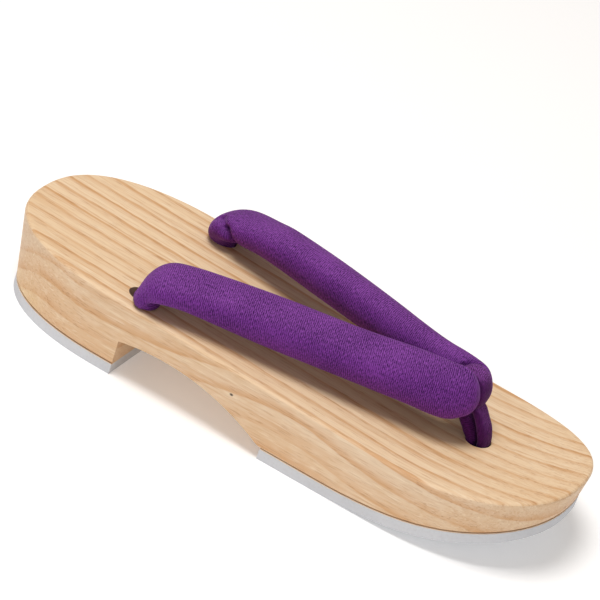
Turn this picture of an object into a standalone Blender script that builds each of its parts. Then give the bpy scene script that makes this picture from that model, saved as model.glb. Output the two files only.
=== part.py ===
"""Geta sandal: a wooden base on rubber pads, with a padded V strap and a toe loop.

Metres, +Z up, toe towards +Y, origin on the floor under the middle of the base. The base
is the same on both sides. The soft strap's left arm (-X) lies a little higher than its right
towards the heel and a little lower towards the toe.
"""

import math
from collections import namedtuple

import bmesh
import bpy
from mathutils import Vector

MM = 0.001

# Plan outline of the footbed
LENGTH = 240 * MM
WIDTH = 86 * MM
TOE_END = 60 * MM
HEEL_END = 63 * MM
END_FULLNESS = 2.4

# Side walls: how far each edge draws in from the footbed to the floor
SIDE_DRAFT = 0.5 * MM
HEEL_DRAFT = 4.1 * MM
TOE_DRAFT = 1.4 * MM

# Footbed: a plane that falls towards the toe, then lifts
FOOTBED_HEIGHT = 28.9 * MM
FOOTBED_FALL = 0.035
TOE_LIFT = 8.2 * MM
TOE_LIFT_LENGTH = 63 * MM
TOP_ARRIS = 1.5 * MM
BOTTOM_ARRIS = 0.8 * MM

# Underside: toe spring, heel block and the hollowed waist
TOE_SPRING = 17.7 * MM
TOE_SPRING_LENGTH = 81.5 * MM
HEEL_BLOCK_LENGTH = 66.5 * MM
WAIST_RADIUS = 90 * MM
WAIST_DEPTH = 12.7 * MM
WAIST_APEX_TO_HEEL_BLOCK = 19.5 * MM

# Rubber pads
PAD_THICKNESS = 4.5 * MM
FOREFOOT_PAD_LENGTH = 107.5 * MM

# Holes in the wood
FRONT_HOLE_DIAMETER = 10.2 * MM
REAR_HOLE_DIAMETER = 9 * MM
TOE_TO_FRONT_HOLE = 42.8 * MM
HEEL_TO_REAR_HOLES = 65.5 * MM
SIDE_TO_REAR_HOLES = 11.5 * MM
REAR_HOLE_SLANT = 8.5 * MM
KNOT_RECESS_DIAMETER = 18 * MM
KNOT_RECESS_DEPTH = 4 * MM

# Padded strap: its section, and the neck of its nose under the loop
STRAP_WIDTH = 20.6 * MM
STRAP_THICKNESS = 16 * MM
STRAP_FULLNESS = 2.2
NECK_WIDTH = 11 * MM
NECK_THICKNESS = 7.4 * MM
NECK_RISE = 18.1 * MM
FRONT_HOLE_TO_NECK = 9.9 * MM
LEFT_ARM_LIFT = 2.2 * MM
LEFT_ARM_BACK = 3.5 * MM

# Front loop
LOOP_WIDTH = 7.2 * MM
LOOP_THICKNESS = 3.6 * MM
TAIL_THICKNESS = 4.4 * MM

# Knots under the wood
FRONT_KNOT_DIAMETER = 14 * MM
REAR_KNOT_DIAMETER = 12 * MM
KNOT_HEIGHT = 8 * MM

# Gaps: between faces that touch, and round a cord in its hole
GAP = 0.3 * MM
CORD_CLEARANCE = 0.4 * MM
CUTTER_REACH = 12 * MM

# How finely curves are divided
END_STEPS = 20
SIDE_STEPS = 18
ARRIS_STEPS = 3
WAIST_STEPS = 24
STRAP_SIDES = 24
ROW_STEPS = 4
LOOP_SIDES = 18
ROUND_SIDES = 40

TOE_Y = LENGTH / 2
HEEL_Y = -LENGTH / 2
TOE_END_Y = TOE_Y - TOE_END
HEEL_END_Y = HEEL_Y + HEEL_END
LIFT_START_Y = TOE_Y - TOE_LIFT_LENGTH
SPRING_START_Y = TOE_Y - TOE_SPRING_LENGTH
HEEL_BLOCK_Y = HEEL_Y + HEEL_BLOCK_LENGTH
WAIST_APEX_Y = HEEL_BLOCK_Y + WAIST_APEX_TO_HEEL_BLOCK
WAIST_APEX_Z = PAD_THICKNESS + WAIST_DEPTH
FOREFOOT_PAD_Y = TOE_Y - FOREFOOT_PAD_LENGTH
FRONT_HOLE_Y = TOE_Y - TOE_TO_FRONT_HOLE
REAR_HOLE_Y = HEEL_Y + HEEL_TO_REAR_HOLES
REAR_HOLE_X = WIDTH / 2 - SIDE_TO_REAR_HOLES
NECK_Y = FRONT_HOLE_Y - FRONT_HOLE_TO_NECK
STRAP_REACH = NECK_Y - REAR_HOLE_Y

# One section of a strap arm. Shares: along of the reach from rear hole to neck, out of the
# rear hole's distance from the middle, rise (the section's centre above the footbed) and
# width of the strap's width, thick of the strap's thickness, lift and back of the left
# arm's own lift and shift. Degrees: roll leans the outer edge down, facing is the outer
# side's plan angle from the side, pitch is the climb.
Section = namedtuple("Section", "along out rise width thick roll facing pitch lift back")

STRAP_SECTIONS = (
    Section(0.023, 1.075, 0.031, 0.62, 0.62, 0, 0, 90, 0, 0.8),
    Section(0.025, 1.075, 0.165, 0.80, 0.66, 0, 2, 84, 0, 1),
    Section(0.038, 1.035, 0.328, 0.98, 0.72, 2, 6, 60, 0, 1),
    Section(0.068, 1.01, 0.499, 1.12, 0.75, 3, 10, 24, -0.3, 0.6),
    Section(0.136, 0.94, 0.575, 1.08, 0.79, 5, 13, 6, 0.1, 0),
    Section(0.219, 0.857, 0.604, 1.04, 0.88, 8, 12, 1, 0.6, 0),
    Section(0.409, 0.711, 0.676, 1.01, 1.00, 18, 11, 2, 0.3, 0),
    Section(0.649, 0.530, 0.769, 0.98, 1.00, 29, 11, 2, -0.4, 0),
    Section(0.839, 0.362, 0.846, 1.01, 0.95, 50, 12, 2, -1, 0),
    Section(0.917, 0.312, 0.874, 1.02, 0.92, 57, 15, 0, -1, 0.1),
    Section(0.967, 0.258, 0.885, 1.01, 0.92, 62, 33, 0, -0.9, 0.2),
    Section(0.998, 0.168, 0.905, 0.94, 0.90, 70, 62, 0, -0.7, 0.2),
)

# The loop's tails, from the neck (0) to the hole's mouth (1): share of the way forward
# and share of the way down.
TailPoint = namedtuple("TailPoint", "forward down")

FRONT_TAIL = (
    TailPoint(0.10, 0.18),
    TailPoint(0.28, 0.36),
    TailPoint(0.62, 0.60),
    TailPoint(0.88, 0.84),
)
REAR_TAIL = (
    TailPoint(0.16, 0.16),
    TailPoint(0.46, 0.28),
    TailPoint(0.74, 0.48),
    TailPoint(0.89, 0.74),
)
NECK_WRAP_DEGREES = (222, 202, 180, 158, 135, 112, 90, 68, 45, 22, 0, -24)

WOOD_COLOUR = (0.72, 0.49, 0.29, 1.0)
STRAP_COLOUR = (0.13, 0.03, 0.24, 1.0)
LOOP_COLOUR = (0.09, 0.02, 0.17, 1.0)
RUBBER_COLOUR = (0.62, 0.63, 0.64, 1.0)
CORD_COLOUR = (0.36, 0.30, 0.27, 1.0)


def footbed_z(y):
    """Height of the footbed at y."""
    lift = max(0.0, y - LIFT_START_Y) / TOE_LIFT_LENGTH
    return FOOTBED_HEIGHT - FOOTBED_FALL * y + TOE_LIFT * lift**2


def spring_z(y):
    """How far the tread has left the floor at y."""
    rise = max(0.0, y - SPRING_START_Y) / TOE_SPRING_LENGTH
    return TOE_SPRING * rise**2


def waist_z(y):
    """Height of the hollowed waist at y."""
    centre_z = WAIST_APEX_Z - WAIST_RADIUS
    return centre_z + math.sqrt(WAIST_RADIUS**2 - (y - WAIST_APEX_Y) ** 2)


def end_point(quarter, half_width, length):
    """A point of an end's superellipse: how far out and how far along, at 0 to 1 of the turn."""
    turn = quarter * math.pi / 2
    power = 2 / END_FULLNESS
    return half_width * math.cos(turn) ** power, length * math.sin(turn) ** power


def right_outline(side_inset, heel_inset, toe_inset):
    """The right half of the plan outline from heel tip to toe tip, drawn in by the insets."""
    half = WIDTH / 2 - side_inset
    points = [(0.0, HEEL_Y + heel_inset)]
    for step in range(END_STEPS - 1, -1, -1):
        out, back = end_point(step / END_STEPS, half, HEEL_END - heel_inset)
        points.append((out, HEEL_END_Y - back))
    for step in range(1, SIDE_STEPS):
        points.append((half, HEEL_END_Y + (TOE_END_Y - HEEL_END_Y) * step / SIDE_STEPS))
    for step in range(END_STEPS):
        out, forward = end_point(step / END_STEPS, half, TOE_END - toe_inset)
        points.append((out, TOE_END_Y + forward))
    points.append((0.0, TOE_Y - toe_inset))
    return points


def part_outline(points, first_y, last_y):
    """The stretch of a right outline between two cross lines, cut square at them."""
    inside = [p for p in points if first_y < p[1] < last_y]
    for y, place in ((first_y, 0), (last_y, len(inside))):
        pairs = [(a, b) for a, b in zip(points, points[1:]) if a[1] < y < b[1]]
        for a, b in pairs:
            share = (y - a[1]) / (b[1] - a[1])
            inside.insert(place, (a[0] + share * (b[0] - a[0]), y))
    return inside


def new_object(name, mesh, collection):
    obj = bpy.data.objects.new(name, mesh)
    collection.objects.link(obj)
    return obj


def mesh_from(name, build):
    """A mesh filled by build(bm), with its faces turned out."""
    bm = bmesh.new()
    build(bm)
    bmesh.ops.recalc_face_normals(bm, faces=bm.faces)
    mesh = bpy.data.meshes.new(name)
    bm.to_mesh(mesh)
    bm.free()
    return mesh


def plan_mesh(name, levels):
    """A body lofted through levels, each a right outline and its height function.

    The first and last levels are closed by strips from side to side, so they may bend
    along Y. Points on the middle line are shared by both halves.
    """

    def build(bm):
        rows = []
        for outline, height in levels:
            right = [bm.verts.new((x, y, height(y))) for x, y in outline]
            left = [
                bm.verts.new((-x, y, height(y))) if x > 0 else vertex
                for (x, y), vertex in zip(outline, right)
            ]
            rows.append((right, left))
        for upper, lower in zip(rows, rows[1:]):
            loops = []
            for right, left in (upper, lower):
                loops.append(right + [v for v in reversed(left) if v not in right])
            count = len(loops[0])
            for i in range(count):
                j = (i + 1) % count
                bm.faces.new((loops[0][i], loops[0][j], loops[1][j], loops[1][i]))
        for right, left in (rows[0], rows[-1]):
            for i in range(len(right) - 1):
                corners = (right[i], right[i + 1], left[i + 1], left[i])
                bm.faces.new(tuple(dict.fromkeys(corners)))

    return mesh_from(name, build)


def tube_mesh(name, rings):
    """A body skinned over rings of points and closed by a face at each end."""

    def build(bm):
        loops = [[bm.verts.new(point) for point in ring] for ring in rings]
        for lower, upper in zip(loops, loops[1:]):
            count = len(lower)
            for i in range(count):
                j = (i + 1) % count
                bm.faces.new((lower[i], lower[j], upper[j], upper[i]))
        bm.faces.new(loops[0])
        bm.faces.new(loops[-1])

    return mesh_from(name, build)


def oval(centre, wide_axis, thick_axis, width, thickness, sides, fullness=2.0):
    """A ring of points: a superellipse in the plane of the two axes."""
    ring = []
    for i in range(sides):
        turn = 2 * math.pi * i / sides
        across = math.copysign(abs(math.cos(turn)) ** (2 / fullness), math.cos(turn))
        through = math.copysign(abs(math.sin(turn)) ** (2 / fullness), math.sin(turn))
        offset = wide_axis * (across * width / 2) + thick_axis * (through * thickness / 2)
        ring.append(centre + offset)
    return ring


def smooth_rows(rows, steps):
    """Rows of numbers, with steps to each span, on a Catmull-Rom curve through all of them."""
    padded = [rows[0]] + list(rows) + [rows[-1]]
    result = []
    for a, b, c, d in zip(padded, padded[1:], padded[2:], padded[3:]):
        for step in range(steps):
            t = step / steps
            row = []
            for p, q, r, s in zip(a, b, c, d):
                bend = (2 * p - 5 * q + 4 * r - s) * t**2 + (3 * q - p - 3 * r + s) * t**3
                row.append(q + ((r - p) * t + bend) / 2)
            result.append(row)
    result.append(list(rows[-1]))
    return result


def cylinder(name, diameter, bottom, top, collection):
    """A closed round bar between two points."""
    axis = top - bottom
    bpy.ops.mesh.primitive_cylinder_add(
        vertices=ROUND_SIDES, radius=diameter / 2, depth=axis.length
    )
    obj = bpy.context.object
    obj.name = name
    obj.location = (bottom + top) / 2
    obj.rotation_euler = axis.to_track_quat("Z", "Y").to_euler()
    for owner in list(obj.users_collection):
        owner.objects.unlink(obj)
    collection.objects.link(obj)
    return obj


def as_cutter(obj):
    obj.hide_render = True
    obj.display_type = "WIRE"
    return obj


def subtract(obj, cutter):
    modifier = obj.modifiers.new("cut_" + cutter.name, "BOOLEAN")
    modifier.operation = "DIFFERENCE"
    modifier.object = cutter


def material(name, colour, roughness):
    result = bpy.data.materials.new(name)
    result.use_nodes = True
    shader = result.node_tree.nodes["Principled BSDF"]
    shader.inputs["Base Color"].default_value = colour
    shader.inputs["Roughness"].default_value = roughness
    shader.inputs["Metallic"].default_value = 0.0
    return result


def finish(obj, surface, sharp_degrees=35):
    obj.data.materials.clear()
    obj.data.materials.append(surface)
    obj.data.shade_smooth()
    obj.data.set_sharp_from_angle(angle=math.radians(sharp_degrees))
    return obj


def rear_hole_axis(side):
    """The slanting rear hole: its middle at the footbed and at the waist's underside."""
    x = side * REAR_HOLE_X
    low_y = REAR_HOLE_Y + REAR_HOLE_SLANT
    return Vector((x, REAR_HOLE_Y, footbed_z(REAR_HOLE_Y))), Vector((x, low_y, waist_z(low_y)))


def waist_normal(y):
    """The direction straight into the wood from the waist's underside at y."""
    slant = (y - WAIST_APEX_Y) / WAIST_RADIUS
    return Vector((0.0, slant, math.sqrt(1 - slant**2)))


def waist_cutter(collection):
    """A block across the base: upright at the heel block, then the waist's round arch."""
    foot_y = WAIST_APEX_Y + math.sqrt(WAIST_RADIUS**2 - (WAIST_RADIUS - WAIST_APEX_Z) ** 2)
    profile = [(foot_y, -CUTTER_REACH), (HEEL_BLOCK_Y, -CUTTER_REACH)]
    for step in range(WAIST_STEPS + 1):
        y = HEEL_BLOCK_Y + (foot_y - HEEL_BLOCK_Y) * step / WAIST_STEPS
        profile.append((y, waist_z(y)))
    curve = bpy.data.curves.new("waist_cutter", "CURVE")
    curve.dimensions = "2D"
    curve.fill_mode = "BOTH"
    curve.extrude = WIDTH / 2 + CUTTER_REACH
    spline = curve.splines.new("POLY")
    spline.points.add(len(profile) - 1)
    for point, (y, z) in zip(spline.points, profile):
        point.co = (y, z, 0.0, 1.0)
    spline.use_cyclic_u = True
    flat = new_object("waist_profile", curve, collection)
    flat.rotation_euler = (math.pi / 2, 0.0, math.pi / 2)
    bpy.context.view_layer.update()
    graph = bpy.context.evaluated_depsgraph_get()
    mesh = bpy.data.meshes.new_from_object(flat.evaluated_get(graph))
    bm = bmesh.new()
    bm.from_mesh(mesh)
    bmesh.ops.remove_doubles(bm, verts=bm.verts, dist=GAP / 10)
    bmesh.ops.recalc_face_normals(bm, faces=bm.faces)
    bm.to_mesh(mesh)
    bm.free()
    cutter = new_object("waist_cutter", mesh, collection)
    cutter.matrix_world = flat.matrix_world
    bpy.data.objects.remove(flat)
    return as_cutter(cutter)


def build_base(parts, cutters):
    """The wooden block with rounded edges, its waist hollowed and its holes drilled."""
    levels = []
    for step in range(ARRIS_STEPS + 1):
        turn = step / ARRIS_STEPS * math.pi / 2
        inset = TOP_ARRIS * (1 - math.sin(turn))
        drop = TOP_ARRIS * (1 - math.cos(turn))
        levels.append((right_outline(inset, inset, inset), lambda y, d=drop: footbed_z(y) - d))
    for inset, rise in ((0.0, BOTTOM_ARRIS), (BOTTOM_ARRIS, 0.0)):
        outline = right_outline(SIDE_DRAFT + inset, HEEL_DRAFT + inset, TOE_DRAFT + inset)
        levels.append((outline, lambda y, r=rise: PAD_THICKNESS + spring_z(y) + r))
    base = new_object("base", plan_mesh("base", levels), parts)
    subtract(base, waist_cutter(cutters))
    hole = Vector((0.0, FRONT_HOLE_Y, 0.0))
    up = Vector((0.0, 0.0, 1.0))
    top = hole + up * (footbed_z(FRONT_HOLE_Y) + CUTTER_REACH)
    drill = cylinder("front_hole_cutter", FRONT_HOLE_DIAMETER, hole, top, cutters)
    subtract(base, as_cutter(drill))
    ceiling = hole + up * knot_ceiling_z()
    recess = cylinder("knot_recess_cutter", KNOT_RECESS_DIAMETER, hole, ceiling, cutters)
    subtract(base, as_cutter(recess))
    for name, side in (("right", 1), ("left", -1)):
        mouth, outlet = rear_hole_axis(side)
        reach = (mouth - outlet).normalized() * CUTTER_REACH
        drill = cylinder(
            "rear_hole_cutter_" + name, REAR_HOLE_DIAMETER, outlet - reach, mouth + reach, cutters
        )
        subtract(base, as_cutter(drill))
    return base


def build_heel_pad(parts):
    outline = right_outline(SIDE_DRAFT, HEEL_DRAFT, TOE_DRAFT)
    outline = [outline[0]] + part_outline(outline, HEEL_Y, HEEL_BLOCK_Y)[1:]
    levels = (
        (outline, lambda y: PAD_THICKNESS - GAP),
        (outline, lambda y: 0.0),
    )
    return new_object("heel_pad", plan_mesh("heel_pad", levels), parts)


def build_forefoot_pad(parts, cutters):
    """The pad follows the toe spring, and opens round the knot's recess."""
    outline = right_outline(SIDE_DRAFT, HEEL_DRAFT, TOE_DRAFT)
    outline = part_outline(outline, FOREFOOT_PAD_Y, TOE_Y - TOE_DRAFT) + [outline[-1]]
    levels = (
        (outline, lambda y: PAD_THICKNESS - GAP + spring_z(y)),
        (outline, spring_z),
    )
    pad = new_object("forefoot_pad", plan_mesh("forefoot_pad", levels), parts)
    subtract(pad, bpy.data.objects["knot_recess_cutter"])
    return pad


def section_ring(row, side):
    """The ring of one strap section, on the right (side 1) or the left (side -1) arm."""
    up = Vector((0.0, 0.0, 1.0))
    own = 0 if side > 0 else 1
    y = REAR_HOLE_Y + row.along * STRAP_REACH - own * row.back * LEFT_ARM_BACK
    z = footbed_z(y) + row.rise * STRAP_WIDTH + own * row.lift * LEFT_ARM_LIFT
    facing, pitch, roll = (math.radians(v) for v in (row.facing, row.pitch, row.roll))
    outward = Vector((math.cos(facing), math.sin(facing), 0.0))
    heading = Vector((-math.sin(facing), math.cos(facing), 0.0))
    along = heading * math.cos(pitch) + up * math.sin(pitch)
    over = outward.cross(along)
    wide = outward * math.cos(roll) - over * math.sin(roll)
    thick = outward * math.sin(roll) + over * math.cos(roll)
    centre = Vector((row.out * REAR_HOLE_X, y, z))
    width, thickness = row.width * STRAP_WIDTH, row.thick * STRAP_THICKNESS
    return oval(centre, wide, thick, width, thickness, STRAP_SIDES, STRAP_FULLNESS)


def foot_rings():
    """Rings of an arm's foot, from just over its knot up the rear hole to its mouth."""
    mouth, outlet = rear_hole_axis(1)
    foot = REAR_HOLE_DIAMETER - 2 * CORD_CLEARANCE
    axis = (mouth - outlet).normalized()
    up = Vector((0.0, 0.0, 1.0))
    wide = Vector((1.0, 0.0, 0.0))
    dip = foot / 2 * math.sin(axis.angle(waist_normal(outlet.y)))
    reach = knot_reach(REAR_HOLE_DIAMETER, REAR_KNOT_DIAMETER)
    knot_top = outlet + axis * (reach + GAP + dip)
    rings = []
    for centre in (knot_top, mouth - axis * foot / 2):
        rings.append(oval(centre, wide, wide.cross(axis), foot, foot, STRAP_SIDES))
    rings.append(oval(mouth + up * GAP, wide, wide.cross(up), foot, foot, STRAP_SIDES))
    return rings


def arm_rings(side):
    """Rings of one arm, from its foot in the rear hole to the neck on the middle line."""
    rise, width = NECK_RISE / STRAP_WIDTH, NECK_WIDTH / STRAP_WIDTH
    neck = Section(1, 0, rise, width, NECK_THICKNESS / STRAP_THICKNESS, 82, 90, 0, 0, 0)
    rings = foot_rings()
    for values in smooth_rows(STRAP_SECTIONS + (neck,), ROW_STEPS):
        rings.append(section_ring(Section(*values), side))
    for ring in rings:
        for point in ring:
            point.x *= side
    return rings


def build_strap(parts):
    """The padded V strap: both arms in one sweep, joined at the neck of the nose."""
    right = arm_rings(1)
    left = arm_rings(-1)
    rings = right + list(reversed(left[:-1]))
    return new_object("strap", tube_mesh("strap", rings), parts)


def loop_path():
    """The loop's middle line in the YZ plane, with its thickness: up the rear tail, over
    the neck and down the front tail."""
    neck_z = footbed_z(NECK_Y) + NECK_RISE
    reach_y = NECK_THICKNESS / 2 + GAP + LOOP_THICKNESS / 2
    reach_z = NECK_WIDTH / 2 + GAP + LOOP_THICKNESS / 2
    wrap = []
    for degrees in NECK_WRAP_DEGREES:
        turn = math.radians(degrees)
        y = NECK_Y + reach_y * math.cos(turn)
        wrap.append((y, neck_z + reach_z * math.sin(turn), LOOP_THICKNESS))
    apart = (TAIL_THICKNESS + GAP) / 2
    mouth_z = footbed_z(FRONT_HOLE_Y)
    end_z = knot_ceiling_z() + knot_reach(FRONT_HOLE_DIAMETER, FRONT_KNOT_DIAMETER) + GAP
    tails = []
    for start, table, side in ((wrap[0], REAR_TAIL, -1), (wrap[-1], FRONT_TAIL, 1)):
        hole_y = FRONT_HOLE_Y + side * apart
        tail = []
        for point in table:
            y = start[0] + point.forward * (hole_y - start[0])
            z = start[1] + point.down * (mouth_z - start[1])
            thickness = LOOP_THICKNESS + point.down * (TAIL_THICKNESS - LOOP_THICKNESS)
            tail.append((y, z, thickness))
        tail.append((hole_y, mouth_z, TAIL_THICKNESS))
        tail.append((hole_y, (mouth_z + end_z) / 2, TAIL_THICKNESS))
        tail.append((hole_y, end_z, TAIL_THICKNESS))
        tails.append(tail)
    return list(reversed(tails[0])) + wrap + tails[1]


def loop_rings(swell=0.0):
    """Rings along the loop's path, larger all round by swell."""
    rows = smooth_rows(loop_path(), 2)
    wide = Vector((1.0, 0.0, 0.0))
    rings = []
    for i, (y, z, thickness) in enumerate(rows):
        before = rows[max(i - 1, 0)]
        after = rows[min(i + 1, len(rows) - 1)]
        along = Vector((0.0, after[0] - before[0], after[1] - before[1])).normalized()
        centre, thick = Vector((0.0, y, z)), wide.cross(along)
        width, thickness = LOOP_WIDTH + 2 * swell, thickness + 2 * swell
        rings.append(oval(centre, wide, thick, width, thickness, LOOP_SIDES))
    return rings


def build_loop(parts):
    return new_object("front_loop", tube_mesh("front_loop", loop_rings()), parts)


def cut_loop_groove(strap, cutters):
    mesh = tube_mesh("loop_groove_cutter", loop_rings(swell=GAP))
    subtract(strap, as_cutter(new_object("loop_groove_cutter", mesh, cutters)))


def knot_ceiling_z():
    """Height of the flat roof of the front knot's recess."""
    return PAD_THICKNESS + spring_z(FRONT_HOLE_Y) + KNOT_RECESS_DEPTH


def knot_seat(hole, diameter):
    """How far a knot's middle lies below the hole's rim that it seats against."""
    return KNOT_HEIGHT / 2 * math.sqrt(1 - (hole / diameter) ** 2) + 2 * GAP


def knot_reach(hole, diameter):
    """How far a seated knot's top reaches into its hole."""
    return KNOT_HEIGHT / 2 - knot_seat(hole, diameter)


def build_knot(name, rim, axis, hole, diameter, parts):
    """A knot seated against a hole's lower rim."""
    bm = bmesh.new()
    bmesh.ops.create_uvsphere(bm, u_segments=24, v_segments=12, radius=0.5)
    bmesh.ops.scale(bm, vec=(diameter, diameter, KNOT_HEIGHT), verts=bm.verts)
    mesh = bpy.data.meshes.new(name)
    bm.to_mesh(mesh)
    bm.free()
    knot = new_object(name, mesh, parts)
    knot.location = rim - axis * knot_seat(hole, diameter)
    knot.rotation_euler = axis.to_track_quat("Z", "Y").to_euler()
    return knot


def build_knots(parts):
    up = Vector((0.0, 0.0, 1.0))
    rim = Vector((0.0, FRONT_HOLE_Y, knot_ceiling_z()))
    knots = [
        build_knot("front_knot", rim, up, FRONT_HOLE_DIAMETER, FRONT_KNOT_DIAMETER, parts)
    ]
    for name, side in (("rear_knot_right", 1), ("rear_knot_left", -1)):
        rim = rear_hole_axis(side)[1]
        inward = waist_normal(rim.y)
        knots.append(build_knot(name, rim, inward, REAR_HOLE_DIAMETER, REAR_KNOT_DIAMETER, parts))
    return knots


def main():
    for obj in list(bpy.data.objects):
        bpy.data.objects.remove(obj)
    parts = bpy.data.collections.new("geta_sandal")
    cutters = bpy.data.collections.new("cutters")
    for collection in (parts, cutters):
        bpy.context.scene.collection.children.link(collection)

    wood = material("wood", WOOD_COLOUR, 0.55)
    strap_cloth = material("strap_cloth", STRAP_COLOUR, 0.85)
    loop_cloth = material("loop_cloth", LOOP_COLOUR, 0.85)
    rubber = material("rubber", RUBBER_COLOUR, 0.8)
    cord = material("cord", CORD_COLOUR, 0.9)

    finish(build_base(parts, cutters), wood)
    finish(build_heel_pad(parts), rubber)
    finish(build_forefoot_pad(parts, cutters), rubber)
    strap = build_strap(parts)
    finish(build_loop(parts), loop_cloth)
    cut_loop_groove(strap, cutters)
    finish(strap, strap_cloth)
    for knot in build_knots(parts):
        finish(knot, cord)


main()
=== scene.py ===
"""Looks of a geta sandal: grained wood, a padded crepe strap, a folded toe loop, cords and treads.

Metres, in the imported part's own frame: +Z up, toe towards +Y, origin on the floor under the base.
"""

import math
from collections import namedtuple

import bmesh
import bpy
from mathutils import Matrix, Vector


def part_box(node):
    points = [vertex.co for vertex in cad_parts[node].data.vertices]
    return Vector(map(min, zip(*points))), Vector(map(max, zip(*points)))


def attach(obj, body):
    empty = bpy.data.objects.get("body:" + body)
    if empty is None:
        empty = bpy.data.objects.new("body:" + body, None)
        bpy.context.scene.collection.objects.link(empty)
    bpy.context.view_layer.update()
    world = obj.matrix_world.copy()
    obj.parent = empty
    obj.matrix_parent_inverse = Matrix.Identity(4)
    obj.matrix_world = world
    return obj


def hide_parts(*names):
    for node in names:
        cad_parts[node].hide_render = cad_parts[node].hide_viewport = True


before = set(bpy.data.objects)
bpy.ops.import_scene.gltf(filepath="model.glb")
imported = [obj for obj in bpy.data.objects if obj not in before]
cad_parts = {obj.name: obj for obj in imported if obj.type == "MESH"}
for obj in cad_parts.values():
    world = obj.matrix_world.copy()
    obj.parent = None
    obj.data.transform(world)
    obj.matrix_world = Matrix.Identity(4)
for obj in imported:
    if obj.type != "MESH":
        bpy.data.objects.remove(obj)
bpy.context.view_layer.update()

MM = 0.001
UP = Vector((0.0, 0.0, 1.0))
ACROSS = Vector((1.0, 0.0, 0.0))

# Sizes of the wooden base that the cloth and cords follow
LENGTH = 240 * MM
FOOTBED_HEIGHT = 28.9 * MM
FOOTBED_FALL = 0.035
TOE_LIFT = 8.2 * MM
TOE_LIFT_LENGTH = 63 * MM
PAD_THICKNESS = 4.5 * MM
TOE_SPRING = 17.7 * MM
TOE_SPRING_LENGTH = 81.5 * MM
WAIST_RADIUS = 90 * MM
WAIST_APEX_Y = -34 * MM
WAIST_APEX_Z = 17.2 * MM
FRONT_HOLE_Y = 77.2 * MM
REAR_HOLE_X = 31.5 * MM
REAR_HOLE_Y = -54.5 * MM
REAR_HOLE_DIAMETER = 9 * MM
REAR_HOLE_SLANT = 8.5 * MM
KNOT_RECESS_DEPTH = 4 * MM

# Padded strap and toe loop
STRAP_WIDTH = 20.6 * MM
STRAP_THICKNESS = 16 * MM
STRAP_FULLNESS = 2.2
NECK_Y = 67.3 * MM
NECK_WIDTH = 11 * MM
NECK_THICKNESS = 7.4 * MM
NECK_RISE = 18.1 * MM
LEFT_ARM_LIFT = 2.2 * MM
LEFT_ARM_BACK = 3.5 * MM
STRAP_REACH = NECK_Y - REAR_HOLE_Y
LOOP_WIDTH = 7.2 * MM
LOOP_THICKNESS = 3.6 * MM
LOOP_FULLNESS = 2.3
TAIL_THICKNESS = 4.4 * MM
GAP = 0.3 * MM
CORD_CLEARANCE = 0.4 * MM
FRONT_KNOT_DIAMETER = 14 * MM
FRONT_KNOT_HEIGHT = 8 * MM
REAR_KNOT_DIAMETER = 9.5 * MM
REAR_KNOT_HEIGHT = 6 * MM

# How finely the cloth is divided
STRAP_SIDES = 96
STRAP_STEPS = 14
LOOP_SIDES = 44
LOOP_STEPS = 8

# The photograph's view, with the roll in degrees and the lens and its sensor in millimetres
CAMERA_PLACE = Vector((0.9655, 0.32779, 0.63391))
CAMERA_AIM = Vector((-0.0210, -0.01347, 0.03))
CAMERA_ROLL = 19.086
CAMERA_LENS = 189.74
CAMERA_SENSOR = 36
CAMERA_CLIP = (0.01, 20)

# Sections of a strap arm, as shares of the sizes above: along of the reach from rear hole to
# neck, out of the rear hole's distance, rise and width of the strap's width, thick of its
# thickness, lift and back of the left arm's own shift. Angles are in degrees.
Section = namedtuple("Section", "along out rise width thick roll facing pitch lift back")

STRAP_SECTIONS = (
    Section(0.023, 1.075, 0.031, 0.62, 0.62, 0, 0, 90, 0, 0.8),
    Section(0.025, 1.075, 0.165, 0.80, 0.66, 0, 2, 84, 0, 1),
    Section(0.038, 1.035, 0.328, 0.98, 0.72, 2, 6, 60, 0, 1),
    Section(0.068, 1.01, 0.499, 1.12, 0.75, 3, 10, 24, -0.3, 0.6),
    Section(0.136, 0.94, 0.575, 1.08, 0.79, 5, 13, 6, 0.1, 0),
    Section(0.219, 0.857, 0.604, 1.04, 0.88, 8, 12, 1, 0.6, 0),
    Section(0.409, 0.711, 0.676, 1.01, 1.00, 18, 11, 2, 0.3, 0),
    Section(0.649, 0.530, 0.769, 0.98, 1.00, 29, 11, 2, -0.4, 0),
    Section(0.839, 0.362, 0.846, 1.01, 0.95, 50, 12, 2, -1, 0),
    Section(0.917, 0.312, 0.874, 1.02, 0.92, 57, 15, 0, -1, 0.1),
    Section(0.967, 0.258, 0.885, 1.01, 0.92, 62, 33, 0, -0.9, 0.2),
    Section(0.998, 0.168, 0.905, 0.94, 0.90, 70, 62, 0, -0.7, 0.2),
)

# Folds and gathers of the cloth. Each runs between two places on an arm: millimetres along
# from the hole's mouth and degrees round the section, where 0 faces out, 90 up, 180 in and
# 270 down. Near the nose the section leans over, so 0 is its lower edge, 90 its outer face and
# 180 its upper edge. width and depth are in millimetres, and a ridge has a negative depth.
Fold = namedtuple("Fold", "arm along turn to_along to_turn width depth")

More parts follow.
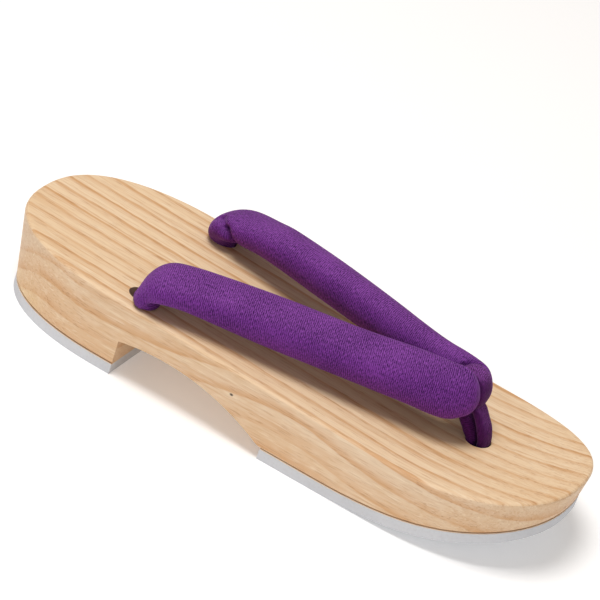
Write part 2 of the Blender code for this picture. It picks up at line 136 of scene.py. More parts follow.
FOLDS = (
    Fold("right", 2, 96, 7, 70, 5.5, 1.3),
    Fold("right", 2, -70, 4, -30, 4.0, -1.5),
    Fold("right", 9, -50, 11, -110, 2.2, 2.4),
    Fold("left", 1, 100, 5, 150, 5.5, -1.5),
    Fold("left", 5, 160, 9, 215, 4.5, -1.0),
    Fold("left", 11, 126, 14, 170, 1.1, 1.9),
    Fold("left", 14, 170, 18, 232, 2.0, 3.2),
    Fold("both", 1, 20, 7, 34, 1.1, 0.5),
    Fold("both", 1, 62, 8, 70, 1.0, 0.45),
    Fold("both", 1, 108, 7, 104, 1.1, 0.5),
    Fold("both", 1, -26, 6, -34, 1.0, 0.5),
    Fold("right", 135.5, 12, 143, -12, 4.5, 3.2),
    Fold("right", 139, 80, 141, 45, 4.5, -1.1),
    Fold("right", 136, 100, 139, 30, 0.9, 0.5),
    Fold("right", 137, 20, 140, -60, 0.9, 0.6),
    Fold("left", 132.5, 225, 133, 140, 1.5, 1.9),
)

# A tail of the loop, from the neck to the hole: forward and down are shares of the way, and
# wide and thick are shares of the band's width and of the tail's thickness.
TailPoint = namedtuple("TailPoint", "forward down wide thick")

FRONT_TAIL = (
    TailPoint(0.24, 0.10, 1.16, 0.94),
    TailPoint(0.50, 0.31, 1.12, 1.00),
    TailPoint(0.78, 0.57, 1.12, 1.10),
    TailPoint(0.96, 0.84, 1.06, 1.06),
)
REAR_TAIL = (
    TailPoint(0.14, 0.16, 1.18, 0.90),
    TailPoint(0.40, 0.28, 1.14, 1.00),
    TailPoint(0.64, 0.50, 1.12, 1.18),
    TailPoint(0.84, 0.76, 1.06, 1.14),
)

# The band round the neck: its width at the tails and on top, as shares of the loop's width,
# and where its rings lie, in degrees from the toe's side up over the neck
WRAP_SPREAD = 1.18
WRAP_TOP_SPREAD = 1.28
NECK_WRAP_DEGREES = (222, 202, 180, 158, 135, 112, 90, 68, 45, 22, 0, -20, -38)


class Value:
    """A shader socket: sums, products and powers of it add Math nodes."""

    def __init__(self, finish, socket):
        self.finish, self.socket = finish, socket

    def math(self, operation, first, second=0.0):
        settings = {"operation": operation}
        return self.finish.node("ShaderNodeMath", settings, {0: first, 1: second})

    def __add__(self, other):
        return self.math("ADD", self, other)

    def __sub__(self, other):
        return self.math("SUBTRACT", self, other)

    def __rsub__(self, other):
        return self.math("SUBTRACT", other, self)

    def __mul__(self, other):
        return self.math("MULTIPLY", self, other)

    def __truediv__(self, other):
        return self.math("DIVIDE", self, other)

    def __pow__(self, other):
        return self.math("POWER", self, other)

    __radd__ = __add__
    __rmul__ = __mul__

    def __abs__(self):
        return self.math("ABSOLUTE", self)

    def fraction(self):
        return self.math("FRACT", self)

    def wave(self):
        return self.math("SINE", self)

    def most(self, other):
        """The larger of the two."""
        return self.math("MAXIMUM", self, other)

    def length(self):
        """How long a vector is."""
        settings = {"operation": "LENGTH"}
        return self.finish.node("ShaderNodeVectorMath", settings, {0: self}, output="Value")

    def between(self, low, high):
        """0 below low, 1 above high, and smooth between them."""
        settings = {"interpolation_type": "SMOOTHSTEP"}
        sockets = {"Value": self, "From Min": low, "From Max": high}
        return self.finish.node("ShaderNodeMapRange", settings, sockets)


class Finish:
    """A material under construction. node() adds any node: settings first, then its sockets."""

    def __init__(self, name, **constants):
        self.material = bpy.data.materials.new(name)
        self.material.use_nodes = True
        self.tree = self.material.node_tree
        self.shader = self.tree.nodes["Principled BSDF"]
        for socket, value in constants.items():
            self.shader.inputs[socket.replace("_", " ")].default_value = value

    def node(self, kind, settings=None, sockets=None, output=0):
        made = self.tree.nodes.new(kind)
        for name, value in (settings or {}).items():
            if name == "stops":
                self.set_stops(made.color_ramp, value)
            else:
                setattr(made, name, value)
        for name, value in (sockets or {}).items():
            self.put(made.inputs[name], value)
        return Value(self, made.outputs[output])

    def put(self, socket, value):
        """Links a value to a socket, or sets it where it is a constant."""
        if isinstance(value, Value):
            self.tree.links.new(value.socket, socket)
        else:
            socket.default_value = value

    def set_stops(self, ramp, stops):
        """Makes a ramp of greys from stops, each a place and the grey there."""
        while len(ramp.elements) < len(stops):
            ramp.elements.new(1.0)
        for element, (place, grey) in zip(ramp.elements, stops):
            element.position = place
            element.color = (grey, grey, grey, 1.0)

    def place(self):
        """The point's place in the frame."""
        return self.node("ShaderNodeTexCoord", output="Object")

    def weave(self):
        """Metres along the cloth and round it, from the map of its tube."""
        along, around, _ = self.axes(self.node("ShaderNodeUVMap", {"uv_map": "weave"}))
        return along, around

    def axes(self, vector):
        """The three numbers of a vector."""
        split = self.node("ShaderNodeSeparateXYZ", sockets={0: vector})
        return [Value(self, out) for out in split.socket.node.outputs]

    def facing_up(self):
        """1 where the surface faces up, 0 where it stands upright."""
        return self.axes(self.node("ShaderNodeNewGeometry", output="Normal"))[2]

    def vector(self, x, y, z):
        return self.node("ShaderNodeCombineXYZ", sockets={0: x, 1: y, 2: z})

    def scaled(self, vector, by):
        return self.node("ShaderNodeVectorMath", {"operation": "MULTIPLY"}, {0: vector, 1: by})

    def shifted(self, vector, by):
        return self.node("ShaderNodeVectorMath", {"operation": "ADD"}, {0: vector, 1: by})

    def noise(self, vector, scale, detail=2.0, roughness=0.5):
        sockets = {"Vector": vector, "Scale": scale, "Detail": detail, "Roughness": roughness}
        return self.node("ShaderNodeTexNoise", None, sockets)

    def marks(self, vector, spots, **settings):
        """Noise with its own number of spots a metre on each axis."""
        return self.noise(self.scaled(vector, spots), 1.0, **settings)

    def blend(self, share, first, second):
        """first where share is 0, second where it is 1. Colours are three numbers or a Value."""
        settings = {"data_type": "RGBA"}
        first, second = (c if isinstance(c, Value) else (*c, 1.0) for c in (first, second))
        sockets = {0: share, 6: first, 7: second}
        return self.node("ShaderNodeMix", settings, sockets, output=2)

    def set(self, **inputs):
        for name, value in inputs.items():
            self.put(self.shader.inputs[name.replace("_", " ")], value)

    def relief(self, height, distance, strength):
        """A bump of the surface: how far out height 1 lies, and how strongly it shows."""
        sockets = {"Height": height, "Distance": distance, "Strength": strength}
        self.set(Normal=self.node("ShaderNodeBump", None, sockets))


# Wood

RING_SPACING = 6.3 * MM
THIN_RING_SPACING = 3.3 * MM
PITH_X = -150 * MM
PITH_Z = -70 * MM
RING_SWAY = 4 * MM
RING_WAVER = 2.8 * MM
RING_FRAY = 1.7 * MM

# Broad bands on the upright sides. Behind HEEL_ARCH_Y they arch down, by HEEL_ARCH times the
# square of the distance in metres.
BAND_SPACING = 8.5 * MM
BAND_SWAY = 38 * MM
HEEL_ARCH_Y = -85 * MM
HEEL_ARCH = 18.8

# A tiny dark knot on the side, the plain and yellow stretches of the heel's side, the shaded
# walls of the rear holes, and how far up a face looks where the top begins. Each pair says
# where a change starts and where it is done.
PIN_KNOT_PLACE = Vector((43.0, -4.5, 19.3)) * MM
PIN_KNOT_SIZE = 0.55 * MM
PLAIN_HEIGHTS = (27 * MM, 34 * MM)
CORNER_HEIGHTS = (6 * MM, 17 * MM)
HEEL_TURN = (0.0, 12 * MM)
HOLE_SHADE_REACH = (7.5 * MM, 8.5 * MM)
HOLE_SHADE_HEIGHTS = (20 * MM, 24 * MM)
TOP_SLOPE = (0.55, 0.8)

# How dark the wood is across one ring and across one band
RING_STOPS = (
    (0.0, 0.95), (0.10, 0.86), (0.19, 0.44), (0.36, 0.15), (0.62, 0.02), (0.92, 0.0), (1.0, 0.95),
)
BAND_STOPS = (
    (0.0, 0.80), (0.08, 0.70), (0.34, 0.26), (0.75, 0.0), (0.94, 0.10), (1.0, 0.80),
)

# Spots a metre of each kind of mark: across the board, along it and up through it
SWAY_SPOTS = (9, 3.5, 18)
WAVER_SPOTS = (62, 4.5, 62)
FRAY_SPOTS = (420, 75, 420)
BAND_SPOTS = (7, 7.5, 3)
STRENGTH_SPOTS = (150, 4, 150)
STREAK_SPOTS = (800, 10, 800)
PORE_SPOTS = (2100, 130, 2100)
FLECK_SPOTS = (1500, 95, 1500)
FLECK_SHIFT = (3.0, 5.0, 7.0)
FIBRE_SPOTS = (3000, 60, 3000)
MOTTLE_SPOTS = (260, 170, 260)
PATCH_SPOTS = (26, 9, 34)

WOOD_PALE = (0.885, 0.665, 0.435)
WOOD_TAN = (0.82, 0.58, 0.345)
# The two side colours are partly the side grain's own tone and partly painted shade
WOOD_PINK = (0.82, 0.63, 0.44)
SIDE_TAN_AND_SHADE = (0.74, 0.50, 0.29)
RING_BROWN = (0.60, 0.275, 0.078)
STREAK_BROWN = (0.64, 0.375, 0.18)
FLECK_CREAM = (0.91, 0.74, 0.54)
PORE_BROWN = (0.45, 0.20, 0.07)
PIN_KNOT = (0.035, 0.016, 0.01)
HEEL_BEIGE = (0.71, 0.535, 0.37)
CORNER_YELLOW = (0.80, 0.56, 0.27)
HOLE_SHADE = (0.09, 0.045, 0.03)


def top_rings(wood, place, frayed):
    """How dark the growth rings make each point of the top: wide rings and thin ones."""
    x, _, z = wood.axes(place)
    out, high = x - PITH_X, z - PITH_Z
    sway = wood.marks(place, SWAY_SPOTS, detail=1.0) - 0.5
    swayed = (out * out + high * high) ** 0.5 + sway * RING_SWAY
    wide = ((swayed + frayed) / RING_SPACING).fraction()
    thin = ((swayed + frayed * 1.3) / THIN_RING_SPACING).fraction()
    dark = wood.node("ShaderNodeValToRGB", {"stops": RING_STOPS}, {0: wide})
    return dark.most(abs(thin - 0.5).between(0.36, 0.5) * 0.42)


def side_bands(wood, place, arched, frayed):
    """How dark the broad bands make each point of the sides."""
    sway = wood.marks(place, BAND_SPOTS, detail=1.0) - 0.5
    across = ((arched + sway * BAND_SWAY + frayed * 0.8) / BAND_SPACING).fraction()
    return wood.node("ShaderNodeValToRGB", {"stops": BAND_STOPS}, {0: across})


def ground_colour(wood, place, on_top, behind, plain):
    """The wood between its lines: warm on top, pinker and a little darker at the sides, partly
    their own tone and partly painted shade, beige and yellow at the heel's side."""
    z = wood.axes(place)[2]
    patch = wood.marks(place, PATCH_SPOTS)
    mottle = wood.marks(place, MOTTLE_SPOTS, detail=3.0)
    top = wood.blend(patch.between(0.3, 0.7), WOOD_PALE, WOOD_TAN)
    cloudy = patch * 0.7 + mottle * 0.3
    # Sides pinker and darker than the top: partly their own tone, partly painted shade
    side = wood.blend(cloudy.between(0.36, 0.64), WOOD_PINK, SIDE_TAN_AND_SHADE)
    at_heel = behind.between(*HEEL_TURN)
    side = wood.blend(plain * at_heel * 0.7, side, HEEL_BEIGE)
    side = wood.blend((1.0 - z.between(*CORNER_HEIGHTS)) * at_heel * 0.6, side, CORNER_YELLOW)
    return wood.blend(on_top, side, top)


def hole_shade(wood, place, on_top):
    """How far the light fails on the walls of the rear holes."""
    x, y, z = wood.axes(place)
    from_hole = wood.vector(abs(x) - REAR_HOLE_X, y - REAR_HOLE_Y, 0.0).length()
    in_hole = (1.0 - from_hole.between(*HOLE_SHADE_REACH)) * (1.0 - on_top)
    return in_hole * z.between(*HOLE_SHADE_HEIGHTS) * 0.85


def wood_finish():
    """Growth rings round a far pith, with pores, flecks and fibres that run along the board."""
    wood = Finish("wood")
    place = wood.place()
    _, y, z = wood.axes(place)
    on_top = wood.facing_up().between(*TOP_SLOPE)
    behind = (HEEL_ARCH_Y - y).most(0.0)
    arched = z + behind * behind * HEEL_ARCH
    plain = arched.between(*PLAIN_HEIGHTS)
    waver = wood.marks(place, WAVER_SPOTS) - 0.5
    fray = wood.marks(place, FRAY_SPOTS) - 0.5
    frayed = waver * RING_WAVER + fray * RING_FRAY
    rings = top_rings(wood, place, frayed) * on_top
    bands = side_bands(wood, place, arched, frayed) * (1.0 - 0.7 * plain) * (1.0 - on_top)
    late = rings + bands

    strong = wood.marks(place, STRENGTH_SPOTS).between(0.36, 0.62)
    streaks = wood.marks(place, STREAK_SPOTS).between(0.42, 0.78)
    pores = wood.marks(place, PORE_SPOTS, detail=1.0).between(0.58, 0.68)
    elsewhere = wood.shifted(place, FLECK_SHIFT)
    flecks = wood.marks(elsewhere, FLECK_SPOTS, detail=1.0).between(0.58, 0.70)
    fibres = wood.marks(place, FIBRE_SPOTS, roughness=0.6)
    away = wood.scaled(wood.shifted(place, -PIN_KNOT_PLACE), (1.0, 0.7, 1.0))
    pin = 1.0 - away.length().between(PIN_KNOT_SIZE * 0.6, PIN_KNOT_SIZE * 1.3)

    colour = ground_colour(wood, place, on_top, behind, plain)
    colour = wood.blend(streaks * 0.5, colour, STREAK_BROWN)
    colour = wood.blend(late * (0.46 + 0.46 * strong), colour, RING_BROWN)
    colour = wood.blend(flecks * (1.0 - late) * 0.45, colour, FLECK_CREAM)
    colour = wood.blend(pores * (0.16 + 0.5 * late), colour, PORE_BROWN)
    colour = wood.blend((fibres.between(0.3, 0.7) - 0.5) * 0.16 + 0.08, colour, FLECK_CREAM)
    colour = wood.blend(hole_shade(wood, place, on_top), colour, HOLE_SHADE)
    wood.set(Base_Color=wood.blend(pin * 0.9, colour, PIN_KNOT))
    wood.set(Roughness=0.44 + 0.14 * fibres + 0.1 * pores)
    wood.relief(fibres * 0.4 - pores * 0.8 - late * 0.35 - pin * 2.0, 0.12 * MM, 0.6)
    return wood.material


# Cloth, cord, glue and rubber

RIB_PITCH = 0.74 * MM
RIB_SLANT = 0.12
RIB_SWAY = 0.9 * MM
RIB_WAVER = 0.4 * MM

# Spots a metre, along the cloth and round it. The third number leaves its layer as it is.
DASH_SPOTS = (2700, 800, 1)
YARN_SPOTS = (3600, 2100, 1)

# light and dark are the yarns and the dips between them. The third colour is a painted highlight,
# the lighter colour the yarns take where they face up, and the last number is how far they take it
# there
Crepe = namedtuple("Crepe", "light dark fuzz fuzz_share")

STRAP_CREPE = Crepe((0.25, 0.051, 0.385), (0.038, 0.0045, 0.072), (0.39, 0.125, 0.53), 0.42)
LOOP_CREPE = Crepe((0.112, 0.011, 0.152), (0.022, 0.002, 0.034), (0.34, 0.09, 0.45), 0.9)
SHEEN_TINT = (0.80, 0.45, 0.95, 1.0)

# The wave of a cord's strands, in radians a metre along the cord and round it
CORD_LAY = (1900, 1500)
CORD_DARK = (0.07, 0.05, 0.04)
CORD_LIGHT = (0.20, 0.15, 0.12)
GLUE_LIGHT = (0.80, 0.66, 0.52)
GLUE_DARK = (0.70, 0.57, 0.45)
RUBBER_DARK = (0.59, 0.61, 0.65)
RUBBER_LIGHT = (0.65, 0.67, 0.71)
GRIT_GREY = (0.48, 0.48, 0.49)


def crepe_finish(name, crepe):
    """Crepe: fine wavering ribs round the strap, broken into short dashes by its yarns."""
    cloth = Finish(name, Sheen_Weight=0.24, Sheen_Roughness=0.3, Sheen_Tint=SHEEN_TINT,
                   Specular_IOR_Level=0.15)
    along, around = cloth.weave()
    place = cloth.place()
    sway = (cloth.noise(place, 170) - 0.5) * RIB_SWAY
    waver = (cloth.noise(place, 700, detail=1.0) - 0.5) * RIB_WAVER
    shifted = along + around * RIB_SLANT + sway + waver
    ribs = (shifted * (2 * math.pi / RIB_PITCH)).wave()
    dashes = cloth.marks(cloth.vector(along, around, 0.0), DASH_SPOTS)
    yarns = cloth.marks(cloth.vector(along, around, 7.0), YARN_SPOTS, detail=1.0)
    height = 0.5 + 0.24 * ribs + (dashes - 0.5) * 1.9 + (yarns - 0.5) * 0.9
    worn = cloth.noise(place, 60) - 0.5
    # Painted highlight: the yarns take a lighter colour where they face up
    painted_highlight_mask = cloth.facing_up().between(0.4, 0.95) * crepe.fuzz_share
    light = cloth.blend(painted_highlight_mask, crepe.light, crepe.fuzz)
    share = (height + worn * 0.5).between(-0.1, 1.15)
    cloth.set(Base_Color=cloth.blend(share, crepe.dark, light))
    cloth.set(Roughness=0.76 + 0.14 * yarns)
    cloth.relief(height, 0.2 * MM, 0.8)
    return cloth.material


def cord_finish():
    """Twisted cord with a little fluff."""
    cord = Finish("cord", Sheen_Weight=0.15)
    along, around = cord.weave()
    strands = (along * CORD_LAY[0] + around * CORD_LAY[1]).wave()
    fluff = cord.noise(cord.place(), 1500)
    share = (strands * 0.35 + fluff).between(0.1, 1.0)
    cord.set(Base_Color=cord.blend(share, CORD_DARK, CORD_LIGHT), Roughness=0.85 + 0.1 * fluff)
    cord.relief(strands * 0.7 + fluff * 0.5, 0.22 * MM, 0.8)
    return cord.material


def glue_finish():
    """Dried glue, slightly cloudy."""
    glue = Finish("glue", Roughness=0.6)
    cloud = glue.noise(glue.place(), 90).between(0.3, 0.7)
    glue.set(Base_Color=glue.blend(cloud, GLUE_LIGHT, GLUE_DARK))
    return glue.material


def rubber_finish():
    """Pale grey crumb rubber."""
    rubber = Finish("rubber")
    place = rubber.place()
    grit = rubber.noise(place, 900)
    cloud = rubber.noise(place, 30).between(0.3, 0.7)
    colour = rubber.blend(cloud, RUBBER_DARK, RUBBER_LIGHT)
    rubber.set(Base_Color=rubber.blend(grit.between(0.45, 0.75) * 0.2, colour, GRIT_GREY))
    rubber.set(Roughness=0.58 + 0.16 * grit)
    rubber.relief(grit, 0.1 * MM, 0.35)
    return rubber.material


# Shapes shared with the wooden base

def footbed_z(y):
    """The top of the wood at a place along it."""
    lift = max(0.0, y - (LENGTH / 2 - TOE_LIFT_LENGTH)) / TOE_LIFT_LENGTH
    return FOOTBED_HEIGHT - FOOTBED_FALL * y + TOE_LIFT * lift**2


def spring_z(y):
    """How far the toe's underside has risen."""
    rise = max(0.0, y - (LENGTH / 2 - TOE_SPRING_LENGTH)) / TOE_SPRING_LENGTH
    return TOE_SPRING * rise**2


def waist_z(y):
    """The underside of the hollowed waist."""
    return WAIST_APEX_Z - WAIST_RADIUS + math.sqrt(WAIST_RADIUS**2 - (y - WAIST_APEX_Y) ** 2)


def smooth_rows(rows, steps):
    """Rows of numbers, with steps to each span, on a Catmull-Rom curve through all of them."""
    padded = [rows[0]] + list(rows) + [rows[-1]]
    result = []
    for a, b, c, d in zip(padded, padded[1:], padded[2:], padded[3:]):
        for step in range(steps):
            t = step / steps
            row = []
            for p, q, r, s in zip(a, b, c, d):
                bend = (2 * p - 5 * q + 4 * r - s) * t**2 + (3 * q - p - 3 * r + s) * t**3
                row.append(q + ((r - p) * t + bend) / 2)
            result.append(row)
    result.append(list(rows[-1]))
    return result


def oval(centre, wide, thick, width, thickness, sides, fullness=2.0):
    """A ring of points: a superellipse in the plane of two axes."""
    ring = []
    for i in range(sides):
        turn = 2 * math.pi * i / sides
        across = math.copysign(abs(math.cos(turn)) ** (2 / fullness), math.cos(turn))
        through = math.copysign(abs(math.sin(turn)) ** (2 / fullness), math.sin(turn))
        ring.append(centre + wide * (across * width / 2) + thick * (through * thickness / 2))
    return ring


def middle(ring):
    """The middle of a ring's points."""
    return sum(ring, Vector()) / len(ring)


def running_lengths(rings):
    """How far along the middle line each ring lies."""
    centres = [middle(ring) for ring in rings]
    lengths = [0.0]
    for a, b in zip(centres, centres[1:]):
        lengths.append(lengths[-1] + (b - a).length)
    return lengths


def girth(ring):
    """How long the way round a ring is."""
    return sum((b - a).length for a, b in zip(ring, ring[1:] + ring[:1]))


def lengths_from(rings, still):
    """For each ring, how far each of its points lies from ring number still, along the cloth."""
    table = [[0.0] * len(rings[0]) for _ in rings]
    for i in range(still + 1, len(rings)):
        for j, (a, b) in enumerate(zip(rings[i - 1], rings[i])):
            table[i][j] = table[i - 1][j] + (b - a).length
    for i in range(still - 1, -1, -1):
        for j, (a, b) in enumerate(zip(rings[i], rings[i + 1])):
            table[i][j] = table[i + 1][j] - (b - a).length
    return table


def lengths_round(ring, start):
    """How far round a ring each point lies from point number start, with the closing one last."""
    order = [ring[(start + j) % len(ring)] for j in range(len(ring) + 1)]
    lengths = [0.0]
    for a, b in zip(order, order[1:]):
        lengths.append(lengths[-1] + (b - a).length)
    return lengths


def tube_piece(name, rings, finish, stills=(0,), parting=0):
    """A tube skinned over rings and closed at its ends. Its map measures the cloth in metres,
    along from the nearest of the rings in stills, and round from the parting line."""
    bm = bmesh.new()
    weave = bm.loops.layers.uv.new("weave")
    loops = [[bm.verts.new(point) for point in ring] for ring in rings]
    along = [lengths_from(rings, still) for still in stills]
    around = [lengths_round(ring, parting) for ring in rings]
    sides = len(rings[0])
    for i in range(len(rings) - 1):
        nearest = min(range(len(stills)), key=lambda n: abs(stills[n] - i - 0.5))
        for step in range(sides):
            j = (parting + step) % sides
            k = (j + 1) % sides
            face = bm.faces.new((loops[i][j], loops[i][k], loops[i + 1][k], loops[i + 1][j]))
            corners = ((i, j, step), (i, k, step + 1), (i + 1, k, step + 1), (i + 1, j, step))
            for corner, (row, side, place) in zip(face.loops, corners):
                corner[weave].uv = (along[nearest][row][side], around[row][place])
    for ring in (loops[0], loops[-1]):
        centre = bm.verts.new(sum((v.co for v in ring), Vector()) / sides)
        for j in range(sides):
            bm.faces.new((ring[j], ring[(j + 1) % sides], centre))
    bmesh.ops.recalc_face_normals(bm, faces=bm.faces)
    return piece_from(name, bm, finish)


def piece_from(name, bm, finish):
    mesh = bpy.data.meshes.new(name)
    bm.to_mesh(mesh)
    bm.free()
    mesh.shade_smooth()
    mesh.materials.append(finish)
    return placed(name, mesh)


def placed(name, data):
    """A new object in the scene, with its mesh, lamp or lens."""
    thing = bpy.data.objects.new(name, data)
    bpy.context.scene.collection.objects.link(thing)
    return thing


# Strap

def section_ring(row, side):
    """The ring of one strap section, on the right (side 1) or the left (side -1) arm."""
    own = 0 if side > 0 else 1
    y = REAR_HOLE_Y + row.along * STRAP_REACH - own * row.back * LEFT_ARM_BACK
    z = footbed_z(y) + row.rise * STRAP_WIDTH + own * row.lift * LEFT_ARM_LIFT
    facing, pitch, roll = (math.radians(v) for v in (row.facing, row.pitch, row.roll))
    outward = Vector((math.cos(facing), math.sin(facing), 0.0))
    heading = Vector((-math.sin(facing), math.cos(facing), 0.0))
    along = heading * math.cos(pitch) + UP * math.sin(pitch)
    over = outward.cross(along)
    wide = outward * math.cos(roll) - over * math.sin(roll)
    thick = outward * math.sin(roll) + over * math.cos(roll)
    centre = Vector((row.out * REAR_HOLE_X, y, z))
    width, thickness = row.width * STRAP_WIDTH, row.thick * STRAP_THICKNESS
    return oval(centre, wide, thick, width, thickness, STRAP_SIDES, STRAP_FULLNESS)


def rear_hole_axis():
    """The middle of a rear hole at the footbed and at the waist."""
    low_y = REAR_HOLE_Y + REAR_HOLE_SLANT
    mouth = Vector((REAR_HOLE_X, REAR_HOLE_Y, footbed_z(REAR_HOLE_Y)))
    return mouth, Vector((REAR_HOLE_X, low_y, waist_z(low_y)))


def foot_rings():
    """Rings of an arm's foot inside the rear hole."""
    mouth, outlet = rear_hole_axis()
    foot = REAR_HOLE_DIAMETER - 2 * CORD_CLEARANCE
    axis = (mouth - outlet).normalized()
    rings = []
    for centre in (outlet + axis * foot, mouth - axis * foot / 2):
        rings.append(oval(centre, ACROSS, ACROSS.cross(axis), foot, foot, STRAP_SIDES))
    rings.append(oval(mouth + UP * GAP, ACROSS, ACROSS.cross(UP), foot, foot, STRAP_SIDES))
    return rings


def fold_depth(arm, along, turn, girth_here):
    """How far the cloth lies in, in metres, at a place on an arm."""
    total = 0.0
    per_degree = girth_here / 360 / MM
    for fold in FOLDS:
        if fold.arm not in (arm, "both"):
            continue
        start = Vector((fold.along, fold.turn * per_degree))
        run = Vector((fold.to_along, fold.to_turn * per_degree)) - start
        nearest = None
        for lap in (-360, 0, 360):
            point = Vector((along / MM, (turn + lap) * per_degree)) - start
            share = min(1.0, max(0.0, point.dot(run) / run.length_squared))
            away = (point - run * share).length
            nearest = away if nearest is None else min(nearest, away)
        total += fold.depth * math.exp(-((nearest / fold.width) ** 2))
    return total * MM


def arm_rings(side):
    """Rings of one arm with its folds, from its foot in the rear hole to the neck."""
    neck = Section(1, 0, NECK_RISE / STRAP_WIDTH, NECK_WIDTH / STRAP_WIDTH,
                   NECK_THICKNESS / STRAP_THICKNESS, 82, 90, 0, 0, 0)
    rings = foot_rings()
    for values in smooth_rows(STRAP_SECTIONS + (neck,), STRAP_STEPS):
        rings.append(section_ring(Section(*values), side))
    arm = "right" if side > 0 else "left"
    lengths = running_lengths(rings)
    mouth = lengths[2]
    result = []
    for ring, length in zip(rings, lengths):
        centre, around = middle(ring), girth(ring)
        folded = []
        for i, point in enumerate(ring):
            turn = 360 * i / STRAP_SIDES
            depth = fold_depth(arm, length - mouth, turn, around)
            folded.append(point - (point - centre).normalized() * depth)
        result.append([Vector((p.x * side, p.y, p.z)) for p in folded])
    return result


def make_strap(cloth):
    """The padded V strap: both arms in one sweep, joined at the neck."""
    rings = arm_rings(1) + list(reversed(arm_rings(-1)[:-1]))
    straight = len(rings) // 4
    stills = (straight, len(rings) - 1 - straight)
    strap = tube_piece("strap_cover", rings, cloth, stills, STRAP_SIDES * 3 // 4)
    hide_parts("strap")
    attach(strap, "root")


# Toe loop

def loop_path():
    """The loop's middle line in the YZ plane, with its thickness and width: up the rear tail,
    over the neck and down the front tail."""
    neck_z = footbed_z(NECK_Y) + NECK_RISE
    reach_y = NECK_THICKNESS / 2 + GAP + LOOP_THICKNESS / 2
    reach_z = NECK_WIDTH / 2 + GAP + LOOP_THICKNESS / 2
    wrap = []
    for degrees in NECK_WRAP_DEGREES:
        turn = math.radians(degrees)
        y = NECK_Y + reach_y * math.cos(turn)
        spread = WRAP_SPREAD + (WRAP_TOP_SPREAD - WRAP_SPREAD) * max(0.0, math.sin(turn))
        wrap.append((y, neck_z + reach_z * math.sin(turn), LOOP_THICKNESS, spread * LOOP_WIDTH))
    apart = (TAIL_THICKNESS + GAP) / 2
    mouth_z = footbed_z(FRONT_HOLE_Y)
    end_z = PAD_THICKNESS + spring_z(FRONT_HOLE_Y) + KNOT_RECESS_DEPTH + 2 * GAP
    tails = []
    for start, table, side in ((wrap[0], REAR_TAIL, -1), (wrap[-1], FRONT_TAIL, 1)):
        hole_y = FRONT_HOLE_Y + side * apart
        tail = []
        for point in table:
            y = start[0] + point.forward * (hole_y - start[0])
            z = start[1] + point.down * (mouth_z - start[1])
            tail.append((y, z, point.thick * TAIL_THICKNESS, point.wide * LOOP_WIDTH))
        for z in (mouth_z, (mouth_z + end_z) / 2, end_z):
            tail.append((hole_y, z, TAIL_THICKNESS, LOOP_WIDTH))
        tails.append(tail)
    return list(reversed(tails[0])) + wrap + tails[1]


def make_loop(cloth):
    """The folded band round the neck, with its two tails in the front hole."""
    rows = smooth_rows(loop_path(), LOOP_STEPS)
    rings = []
    for i, (y, z, thickness, width) in enumerate(rows):
        before = rows[max(i - 1, 0)]
        after = rows[min(i + 1, len(rows) - 1)]
        along = Vector((0.0, after[0] - before[0], after[1] - before[1])).normalized()
        thick = ACROSS.cross(along)
        centre = Vector((0.0, y, z))
        rings.append(oval(centre, ACROSS, thick, width, thickness, LOOP_SIDES, LOOP_FULLNESS))
    loop = tube_piece("loop_band", rings, cloth)
    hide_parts("front_loop")
    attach(loop, "root")


# Knots

KNOT_STEPS = 90
KNOT_CORD_SIDES = 14
KNOT_CORD = 0.30


def make_knot(name, node, diameter, height, finish):
    """A cord tied in an overhand knot, squashed into the top of its node's space. The cord's
    thickness is KNOT_CORD of the knot's diameter."""
    low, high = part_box(node)
    centre = Vector(((low.x + high.x) / 2, (low.y + high.y) / 2, high.z - height / 2))
    cord = KNOT_CORD * diameter
    reach = (diameter - cord) / 2 / 3
    points = []
    for i in range(KNOT_STEPS):
        t = 2 * math.pi * i / KNOT_STEPS
        x = math.sin(t) + 2 * math.sin(2 * t)
        y = math.cos(t) - 2 * math.cos(2 * t)
        z = -math.sin(3 * t)
        points.append(Vector((x * reach, y * reach, z * (height - cord) / 2)))
    rings = []
    for i, point in enumerate(points + points[:1]):
        along = (points[(i + 1) % KNOT_STEPS] - points[(i - 1) % KNOT_STEPS]).normalized()
        wide = along.cross(UP).normalized()
        rings.append(oval(centre + point, wide, wide.cross(along), cord, cord, KNOT_CORD_SIDES))
    knot = tube_piece(name, rings, finish)
    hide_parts(node)
    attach(knot, "root")


# Wooden base and tread pads

EASED_EDGE = 0.45 * MM
EASED_ANGLE = 38
GLUE_RAISE = 0.29 * MM
GLUE_SETBACK = 0.9985


def dress(node, finish):
    """Gives a solid of the part its material."""
    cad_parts[node].data.materials.clear()
    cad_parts[node].data.materials.append(finish)


def ease_edges():
    """Rounds the sharp edges of the wood a little."""
    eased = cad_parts["base"].modifiers.new("eased_edges", "BEVEL")
    eased.limit_method, eased.angle_limit = "ANGLE", math.radians(EASED_ANGLE)
    eased.width, eased.segments = EASED_EDGE, 2


def make_glue(name, node, finish):
    """The film of glue that fills the gap between a tread pad and the wood."""
    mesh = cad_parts[node].data.copy()
    mesh.materials.clear()
    mesh.materials.append(finish)
    low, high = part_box(node)
    centre = (low + high) / 2
    for vertex in mesh.vertices:
        vertex.co.x = centre.x + (vertex.co.x - centre.x) * GLUE_SETBACK
        vertex.co.y = centre.y + (vertex.co.y - centre.y) * GLUE_SETBACK
        vertex.co.z += GLUE_RAISE
    glue = placed(name, mesh)
    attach(glue, "root")


# Floor, lights and camera

# The floor lies just under the treads, so that their soles don't flicker into it
FLOOR_SIZE = 8
FLOOR_DROP = 0.05 * MM
FLOOR_GLOW = 0.20
PAPER_WHITE = (0.93, 0.93, 0.93, 1.0)
GLOW_WHITE = (1.0, 1.0, 1.0, 1.0)

# Places and sizes in metres, power in watts
Lamp = namedtuple("Lamp", "name place size power")

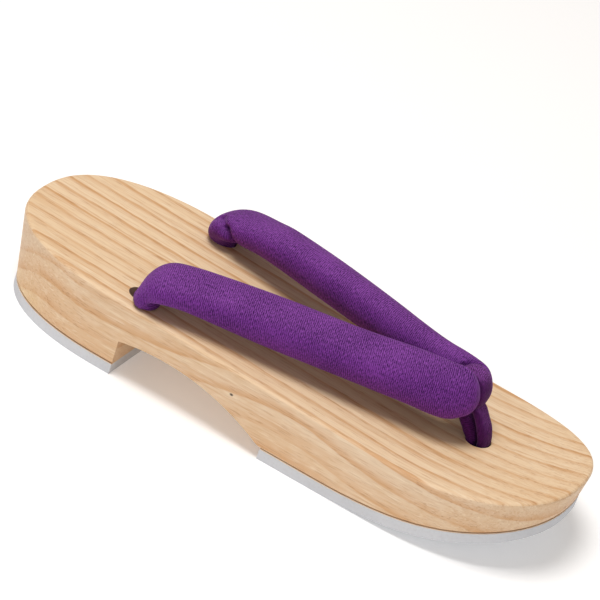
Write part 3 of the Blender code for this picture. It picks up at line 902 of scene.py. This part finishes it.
LAMPS = (
    Lamp("overhead", Vector((0.24, -0.25, 1.5)), 0.7, 15.2),
    Lamp("front_fill", Vector((1.2, 0.2, 0.5)), 1.2, 1.6),
)
LAMP_AIM = Vector((0.0, 0.0, 0.02))
ROOM_COLOUR = (1.0, 0.91, 0.83, 1.0)
ROOM_STRENGTH = 0.37


def make_floor():
    """A plain pale floor."""
    bpy.ops.mesh.primitive_plane_add(size=FLOOR_SIZE, location=(0.0, 0.0, -FLOOR_DROP))
    floor = bpy.context.object
    floor.name = "floor"
    paper = Finish("paper", Roughness=0.9, Emission_Strength=FLOOR_GLOW,
                   Base_Color=PAPER_WHITE, Emission_Color=GLOW_WHITE)
    floor.data.materials.append(paper.material)


def make_light(lamp):
    """A round soft lamp turned to the sandal."""
    disk = bpy.data.lights.new(lamp.name, "AREA")
    disk.shape, disk.size, disk.energy = "DISK", lamp.size, lamp.power
    light = placed(lamp.name, disk)
    light.location = lamp.place
    light.rotation_euler = (LAMP_AIM - lamp.place).to_track_quat("-Z", "Y").to_euler()


def make_room():
    """The warm light that comes from all round."""
    world = bpy.data.worlds.new("studio")
    world.use_nodes = True
    background = world.node_tree.nodes["Background"]
    background.inputs["Color"].default_value = ROOM_COLOUR
    background.inputs["Strength"].default_value = ROOM_STRENGTH
    bpy.context.scene.world = world


def make_camera():
    """The camera at the photograph's view."""
    lens = bpy.data.cameras.new("camera")
    lens.lens, lens.sensor_width = CAMERA_LENS, CAMERA_SENSOR
    lens.clip_start, lens.clip_end = CAMERA_CLIP
    camera = placed("camera", lens)
    turn = (CAMERA_AIM - CAMERA_PLACE).to_track_quat("-Z", "Y").to_matrix().to_4x4()
    roll = Matrix.Rotation(math.radians(CAMERA_ROLL), 4, "Z")
    camera.matrix_world = Matrix.Translation(CAMERA_PLACE) @ turn @ roll
    bpy.context.scene.camera = camera


def main():
    """Sets the stage, then dresses each piece of the sandal."""
    make_camera()
    make_floor()
    make_room()
    for lamp in LAMPS:
        make_light(lamp)
    bpy.context.scene.view_settings.view_transform = "Standard"

    rubber, glue, cord = rubber_finish(), glue_finish(), cord_finish()
    dress("base", wood_finish())
    ease_edges()
    for tread in ("heel", "forefoot"):
        dress(f"{tread}_pad", rubber)
        make_glue(f"{tread}_glue", f"{tread}_pad", glue)
    make_strap(crepe_finish("strap_cloth", STRAP_CREPE))
    make_loop(crepe_finish("loop_cloth", LOOP_CREPE))
    make_knot("front_knot_cord", "front_knot", FRONT_KNOT_DIAMETER, FRONT_KNOT_HEIGHT, cord)
    for side in ("right", "left"):
        name, node = f"rear_knot_cord_{side}", f"rear_knot_{side}"
        make_knot(name, node, REAR_KNOT_DIAMETER, REAR_KNOT_HEIGHT, cord)


main()
